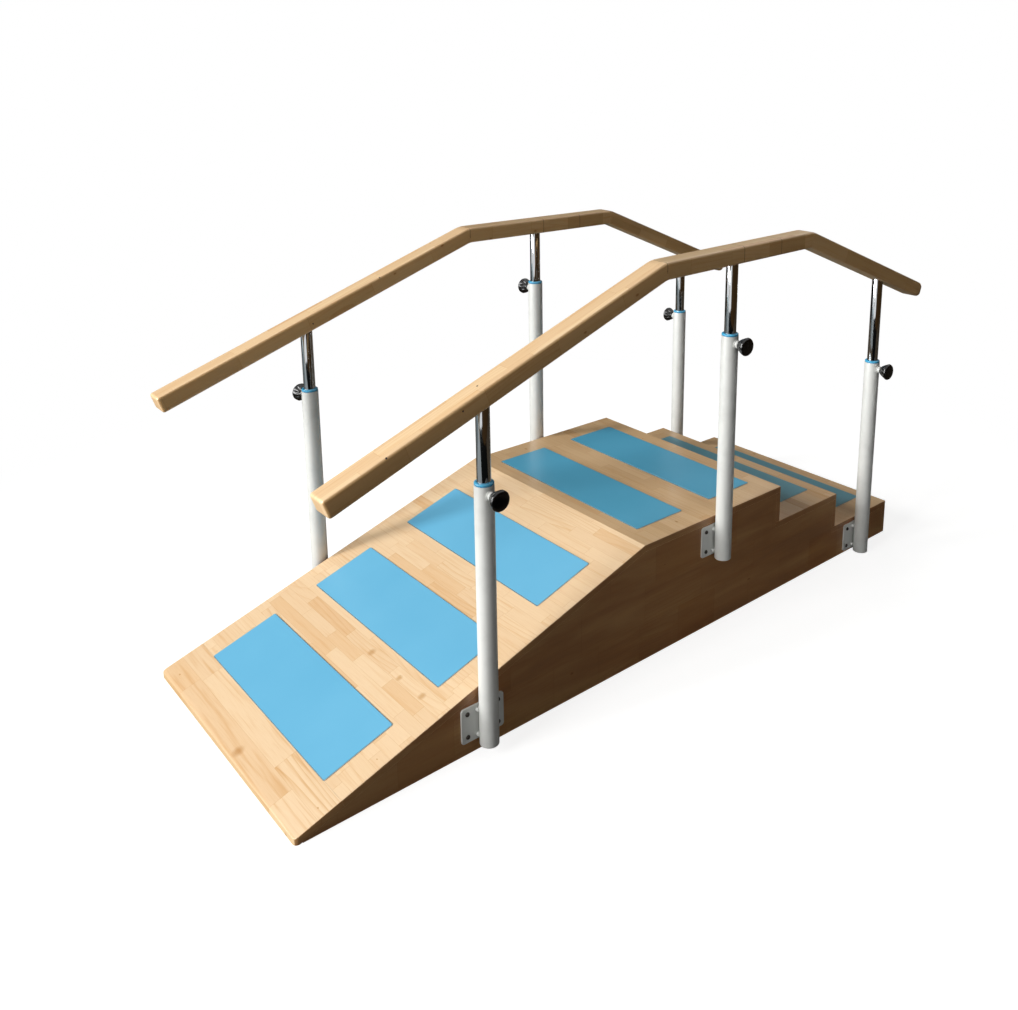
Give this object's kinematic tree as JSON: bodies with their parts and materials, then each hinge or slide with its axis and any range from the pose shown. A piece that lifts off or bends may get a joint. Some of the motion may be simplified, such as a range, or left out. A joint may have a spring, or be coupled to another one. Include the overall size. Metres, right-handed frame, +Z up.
{
  "type": "rehabilitation stairs with ramp",
  "caption": "Wooden exercise stairs with a ramp, a level platform and treads under anti-slip pads, between two handrails on telescoping clamped posts.",
  "frame": {"origin": "on the floor, in the middle of the outline's length and width, with the handrails at rest", "axes": "+X runs from the ramp's toe to the stairs, -Y is the side nearest the viewer in the picture, +Z is up"},
  "size_m": [2.3692, 1.0446, 1.2023],
  "materials": {
    "lacquered_beech": "finger-jointed beech under satin clear lacquer",
    "blue_vinyl": "smooth light blue vinyl sheet",
    "white_powder_coat": "glossy white powder coat on steel tube and plate",
    "blue_polythene": "moulded blue polythene",
    "chromed_steel": "bright chrome on steel tube",
    "natural_nylon": "natural nylon",
    "zinc_plated_steel": "bright zinc plate",
    "black_phenolic": "polished black phenolic"
  },
  "bodies": {
    "body_and_posts": {"near_side_panel": "lacquered_beech", "far_side_panel": "lacquered_beech", "centre_stringer": "lacquered_beech", "ramp_toe_board": "lacquered_beech", "ramp_deck": "lacquered_beech", "platform_deck": "lacquered_beech", "upper_tread": "lacquered_beech", "lower_tread": "lacquered_beech", "platform_riser": "lacquered_beech", "upper_riser": "lacquered_beech", "lower_riser": "lacquered_beech", "ramp_pad_low": "blue_vinyl", "ramp_pad_middle": "blue_vinyl", "ramp_pad_high": "blue_vinyl", "platform_pad_front": "blue_vinyl", "platform_pad_rear": "blue_vinyl", "upper_tread_pad": "blue_vinyl", "lower_tread_pad": "blue_vinyl", "near_ramp_post": "white_powder_coat", "near_ramp_collar": "blue_polythene", "near_platform_post": "white_powder_coat", "near_platform_collar": "blue_polythene", "near_stair_post": "white_powder_coat", "near_stair_collar": "blue_polythene", "far_ramp_post": "white_powder_coat", "far_ramp_collar": "blue_polythene", "far_platform_post": "white_powder_coat", "far_platform_collar": "blue_polythene", "far_stair_post": "white_powder_coat", "far_stair_collar": "blue_polythene"},
    "near_handrail": {"near_ramp_rail": "lacquered_beech", "near_ramp_inner_tube": "chromed_steel", "near_ramp_guide_bush": "natural_nylon", "near_platform_rail": "lacquered_beech", "near_platform_inner_tube": "chromed_steel", "near_platform_guide_bush": "natural_nylon", "near_stair_rail": "lacquered_beech", "near_stair_inner_tube": "chromed_steel", "near_stair_guide_bush": "natural_nylon"},
    "far_handrail": {"far_ramp_rail": "lacquered_beech", "far_ramp_inner_tube": "chromed_steel", "far_ramp_guide_bush": "natural_nylon", "far_platform_rail": "lacquered_beech", "far_platform_inner_tube": "chromed_steel", "far_platform_guide_bush": "natural_nylon", "far_stair_rail": "lacquered_beech", "far_stair_inner_tube": "chromed_steel", "far_stair_guide_bush": "natural_nylon"},
    "near_ramp_stud": {"near_ramp_clamp_stud": "zinc_plated_steel"},
    "near_ramp_handknob": {"near_ramp_knob": "black_phenolic"},
    "near_platform_stud": {"near_platform_clamp_stud": "zinc_plated_steel"},
    "near_platform_handknob": {"near_platform_knob": "black_phenolic"},
    "near_stair_stud": {"near_stair_clamp_stud": "zinc_plated_steel"},
    "near_stair_handknob": {"near_stair_knob": "black_phenolic"},
    "far_ramp_stud": {"far_ramp_clamp_stud": "zinc_plated_steel"},
    "far_ramp_handknob": {"far_ramp_knob": "black_phenolic"},
    "far_platform_stud": {"far_platform_clamp_stud": "zinc_plated_steel"},
    "far_platform_handknob": {"far_platform_knob": "black_phenolic"},
    "far_stair_stud": {"far_stair_clamp_stud": "zinc_plated_steel"},
    "far_stair_handknob": {"far_stair_knob": "black_phenolic"}
  },
  "joints": [
    {"name": "near_rail_lift", "type": "slide", "parent": "body_and_posts", "child": "near_handrail", "axis": [0, 0, 1], "range_m": [-0.17, 0.13]},
    {"name": "far_rail_lift", "type": "slide", "parent": "body_and_posts", "child": "far_handrail", "axis": [0, 0, 1], "range_m": [-0.15, 0.15]},
    {"name": "near_ramp_stud_travel", "type": "slide", "parent": "body_and_posts", "child": "near_ramp_stud", "axis": [0, -1, 0], "range_m": [0, 0.0025]},
    {"name": "near_ramp_knob_turn", "type": "hinge", "parent": "near_ramp_stud", "child": "near_ramp_handknob", "pos_m": [-0.67358, -0.4518, 0.708], "axis": [0, -1, 0], "range_deg": [0, 725]},
    {"name": "near_platform_stud_travel", "type": "slide", "parent": "body_and_posts", "child": "near_platform_stud", "axis": [0, -1, 0], "range_m": [0, 0.0025]},
    {"name": "near_platform_knob_turn", "type": "hinge", "parent": "near_platform_stud", "child": "near_platform_handknob", "pos_m": [0.20042, -0.4518, 0.913], "axis": [0, -1, 0], "range_deg": [0, 725]},
    {"name": "near_stair_stud_travel", "type": "slide", "parent": "body_and_posts", "child": "near_stair_stud", "axis": [0, -1, 0], "range_m": [0, 0.0025]},
    {"name": "near_stair_knob_turn", "type": "hinge", "parent": "near_stair_stud", "child": "near_stair_handknob", "pos_m": [0.94692, -0.4518, 0.681], "axis": [0, -1, 0], "range_deg": [0, 725]},
    {"name": "far_ramp_stud_travel", "type": "slide", "parent": "body_and_posts", "child": "far_ramp_stud", "axis": [0, 1, 0], "range_m": [0, 0.0025]},
    {"name": "far_ramp_knob_turn", "type": "hinge", "parent": "far_ramp_stud", "child": "far_ramp_handknob", "pos_m": [-0.67358, 0.4518, 0.708], "axis": [0, 1, 0], "range_deg": [0, 725]},
    {"name": "far_platform_stud_travel", "type": "slide", "parent": "body_and_posts", "child": "far_platform_stud", "axis": [0, 1, 0], "range_m": [0, 0.0025]},
    {"name": "far_platform_knob_turn", "type": "hinge", "parent": "far_platform_stud", "child": "far_platform_handknob", "pos_m": [0.20042, 0.4518, 0.913], "axis": [0, 1, 0], "range_deg": [0, 725]},
    {"name": "far_stair_stud_travel", "type": "slide", "parent": "body_and_posts", "child": "far_stair_stud", "axis": [0, 1, 0], "range_m": [0, 0.0025]},
    {"name": "far_stair_knob_turn", "type": "hinge", "parent": "far_stair_stud", "child": "far_stair_handknob", "pos_m": [0.94692, 0.4518, 0.681], "axis": [0, 1, 0], "range_deg": [0, 725]}
  ],
  "couplings": [
    {"joint": "near_ramp_knob_turn", "follows": "near_ramp_stud_travel", "rad_per_m": 5026.5},
    {"joint": "near_platform_knob_turn", "follows": "near_platform_stud_travel", "rad_per_m": 5026.5},
    {"joint": "near_stair_knob_turn", "follows": "near_stair_stud_travel", "rad_per_m": 5026.5},
    {"joint": "far_ramp_knob_turn", "follows": "far_ramp_stud_travel", "rad_per_m": 5026.5},
    {"joint": "far_platform_knob_turn", "follows": "far_platform_stud_travel", "rad_per_m": 5026.5},
    {"joint": "far_stair_knob_turn", "follows": "far_stair_stud_travel", "rad_per_m": 5026.5}
  ]
}
